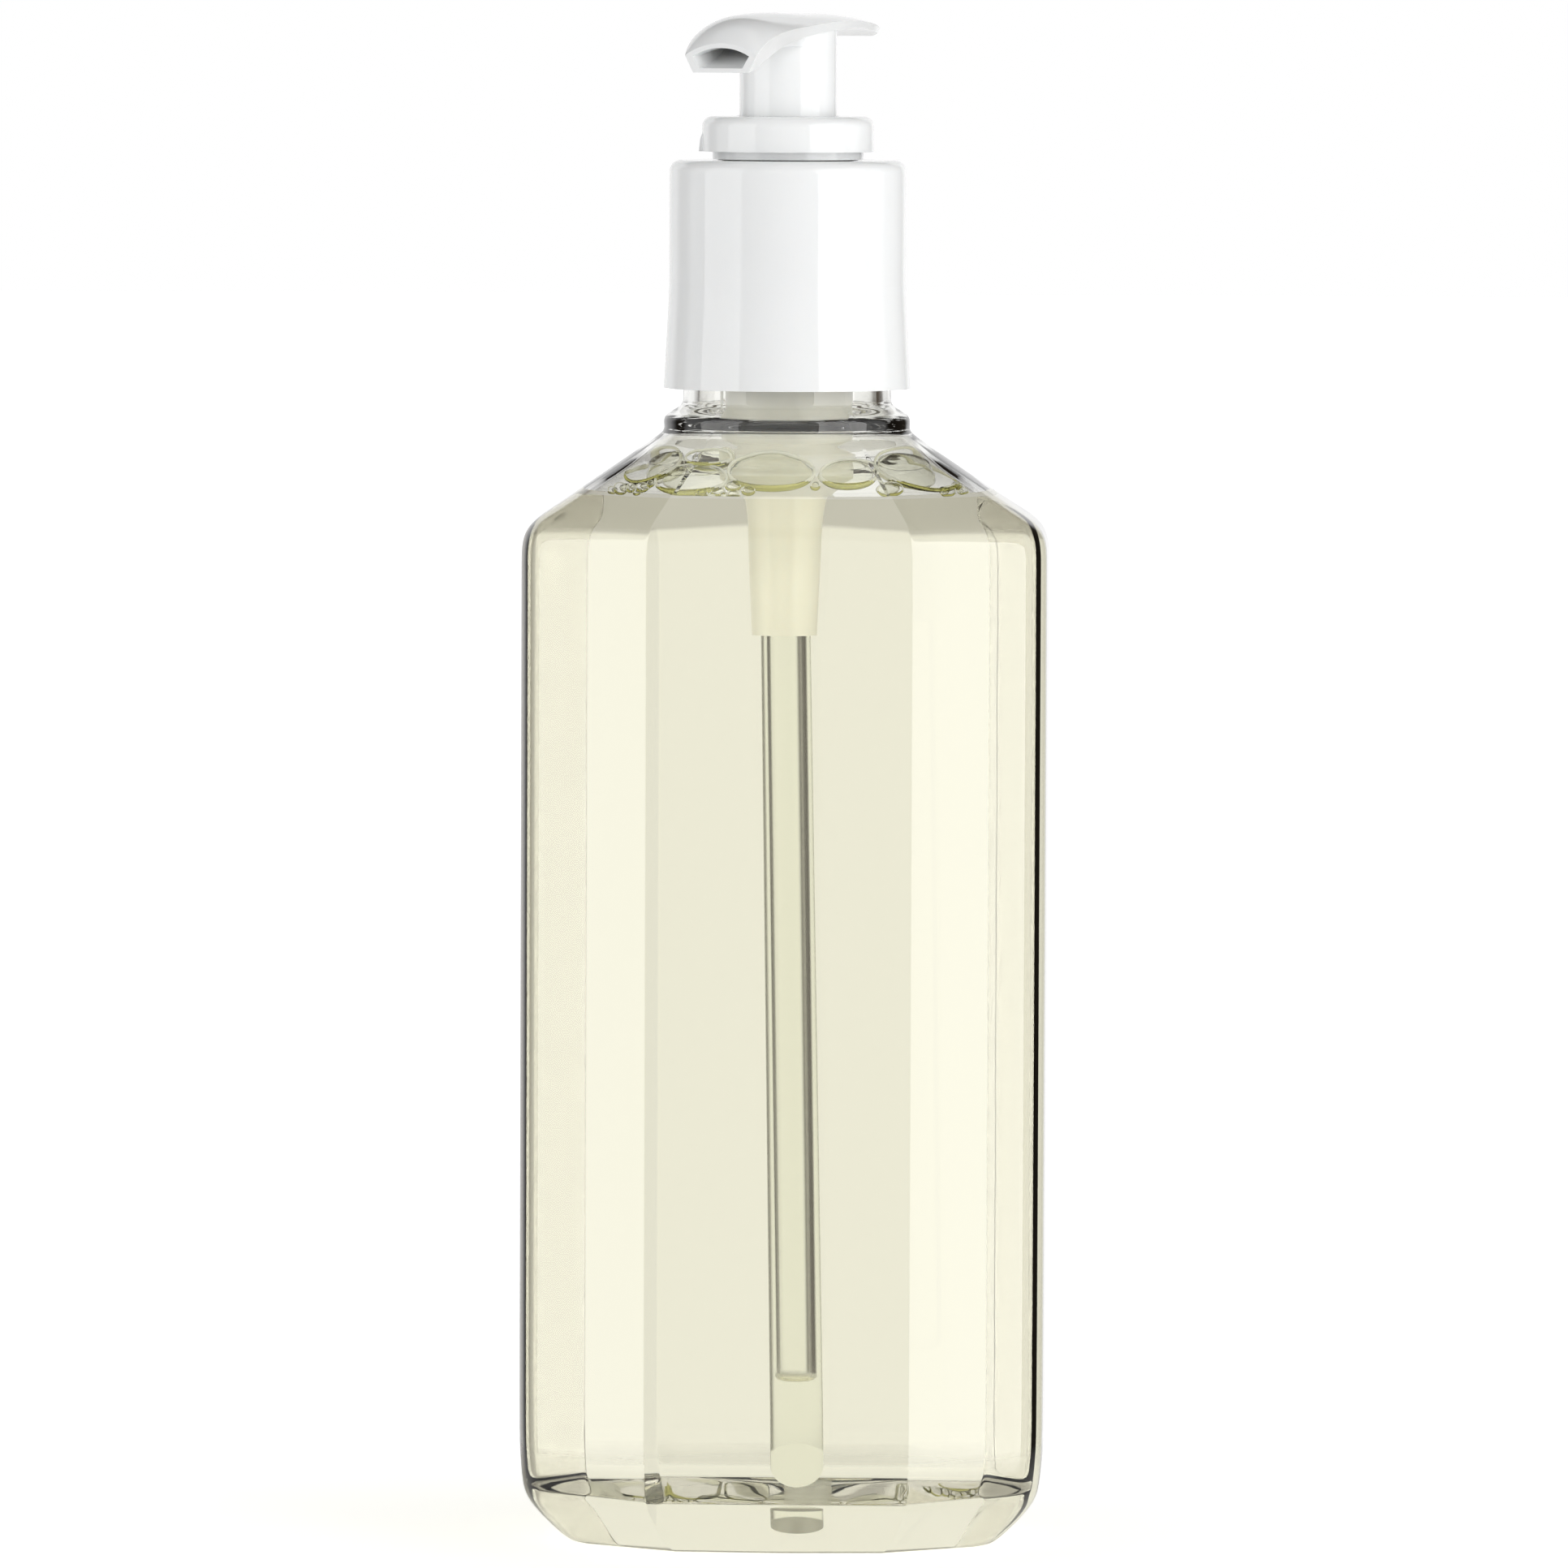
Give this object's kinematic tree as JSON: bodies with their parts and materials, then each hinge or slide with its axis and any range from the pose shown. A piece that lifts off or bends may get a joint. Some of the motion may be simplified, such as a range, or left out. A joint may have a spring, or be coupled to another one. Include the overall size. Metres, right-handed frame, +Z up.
{
  "type": "pump bottle of liquid face wash",
  "caption": "Clear eight-sided bottle of pale liquid with a tall white screw collar and a white press-down pump with a spout, thumb rest and dip tube.",
  "frame": {"origin": "middle of the bottle's base, in the plane it stands on, under the axis of the neck and pump", "axes": "+Z up along the pump's axis, -Y out of the front panel, +X to the right seen from the front"},
  "size_m": [0.0646, 0.05, 0.189],
  "materials": {
    "clear_pet": "clear gloss",
    "face_wash": "clear liquid",
    "white_pp": "moulded gloss",
    "natural_pp": "moulded, slightly milky",
    "natural_pe": "extruded, milky",
    "foam_pe": "soft foam sheet",
    "stainless": "drawn stainless wire"
  },
  "bodies": {
    "bottle": {"bottle": "clear_pet", "face_wash": "face_wash"},
    "pump": {"pump_housing": "natural_pp", "neck_gasket": "foam_pe", "lock_ring": "white_pp", "valve_ball": "stainless", "ball_cage": "natural_pp", "return_spring": "stainless", "dip_tube": "natural_pe"},
    "collar": {"screw_collar": "white_pp"},
    "plunger": {"piston_seal": "natural_pe"},
    "head": {"pump_head": "white_pp", "stem": "natural_pp", "poppet": "white_pp"}
  },
  "joints": [
    {"name": "pump_lift", "type": "slide", "parent": "bottle", "child": "pump", "axis": [0, 0, 1], "range_m": [0, 0.17]},
    {"name": "collar_turn", "type": "hinge", "parent": "pump", "child": "collar", "pos_m": [0, 0, 0.15], "axis": [0, 0, 1], "range_deg": [0, 540]},
    {"name": "press", "type": "slide", "parent": "pump", "child": "plunger", "axis": [0, 0, -1], "range_m": [0, 0.008], "stiffness_N_per_m": 600, "springref_m": -0.008, "deforming": ["return_spring"]},
    {"name": "head_turn", "type": "hinge", "parent": "plunger", "child": "head", "pos_m": [0, 0, 0.18], "axis": [0, 0, 1], "continuous": true}
  ]
}
